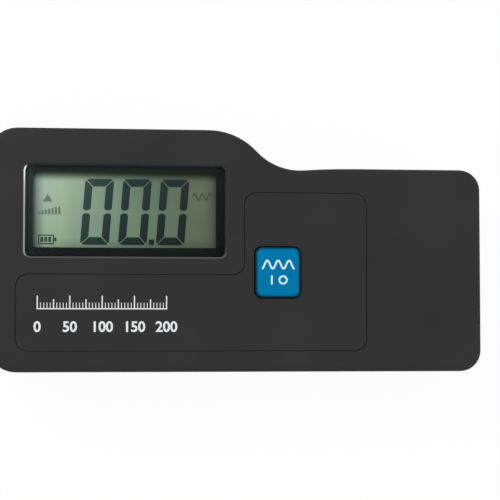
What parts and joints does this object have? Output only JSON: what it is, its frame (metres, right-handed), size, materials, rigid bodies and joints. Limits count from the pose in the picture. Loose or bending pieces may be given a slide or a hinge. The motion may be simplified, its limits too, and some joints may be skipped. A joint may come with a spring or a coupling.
{
  "type": "handheld vibration meter",
  "caption": "Pocket vibration meter with a wide liquid-crystal display, one blue measuring key, a narrower grip and a screwed sensor tip at its display end.",
  "frame": {"origin": "under the middle of the whole meter, on the surface that its back lies on", "axes": "+X from the sensor tip to the battery end, +Y from the lower edge to the display's upper edge, +Z out of the face"},
  "size_m": [0.183, 0.067, 0.03],
  "materials": {
    "body_plastic": "fine moulded texture",
    "cover_plastic": "fine moulded texture",
    "label_film": "satin film",
    "lens_clear": "polished",
    "lcd_glass": "satin",
    "reflector_film": "satin",
    "frame_plastic": "satin",
    "strip_rubber": "matte",
    "key_plastic": "satin",
    "black_plastic": "satin",
    "board_resin": "solder mask",
    "screw_steel": "zinc plated",
    "chip_resin": "matte",
    "sleeve_plastic": "glossy",
    "can_metal": "satin",
    "switch_metal": "tin plated",
    "cell_jacket": "painted sleeve, rolled edges",
    "contact_metal": "nickel plated",
    "lead_jacket": "satin",
    "foam": "open cells",
    "boot_rubber": "matte",
    "sensor_steel": "turned",
    "ceramic": "sintered",
    "mass_steel": "ground",
    "nut_brass": "machined",
    "tip_steel": "turned and hardened"
  },
  "bodies": {
    "housing": {"front_shell": "body_plastic", "back_shell": "body_plastic", "case_screws": "screw_steel", "display_lens": "lens_clear", "lcd_front_glass": "lcd_glass", "lcd_rear_glass": "lcd_glass", "lcd_reflector": "reflector_film", "lcd_frame": "frame_plastic", "zebra_strips": "strip_rubber", "face_label": "label_film", "tact_switch": "black_plastic", "main_board": "board_resin", "board_screws": "screw_steel", "board_chips": "chip_resin", "board_capacitor": "sleeve_plastic", "board_crystal": "can_metal", "function_switch": "switch_metal", "range_switch": "switch_metal", "output_jack": "black_plastic", "battery_block": "cell_jacket", "battery_terminals": "contact_metal", "battery_snap": "black_plastic", "battery_leads": "lead_jacket", "sensor_boot": "boot_rubber", "sensor_can": "sensor_steel", "sensor_base": "sensor_steel", "piezo_ring": "ceramic", "seismic_mass": "mass_steel", "stack_nut": "nut_brass", "neck_nut": "nut_brass", "sensor_leads": "lead_jacket"},
    "key": {"measure_key": "key_plastic", "tact_plunger": "black_plastic"},
    "function_slider": {"function_knob": "black_plastic"},
    "range_slider": {"range_knob": "black_plastic"},
    "cover": {"battery_cover": "cover_plastic", "battery_pad": "foam"},
    "tip": {"probe_tip": "tip_steel"}
  },
  "joints": [
    {"name": "measure_press", "type": "slide", "parent": "housing", "child": "key", "axis": [0, 0, -1], "range_m": [0, 0.0005], "stiffness_N_per_m": 3200},
    {"name": "function_slide", "type": "slide", "parent": "housing", "child": "function_slider", "axis": [1, 0, 0], "range_m": [0, 0.004]},
    {"name": "range_slide", "type": "slide", "parent": "housing", "child": "range_slider", "axis": [1, 0, 0], "range_m": [0, 0.002]},
    {"name": "cover_slide", "type": "slide", "parent": "housing", "child": "cover", "axis": [1, 0, 0], "range_m": [0, 0.036]},
    {"name": "tip_draw", "type": "slide", "parent": "housing", "child": "tip", "axis": [-1, 0, 0], "range_m": [0, 0.01]}
  ]
}
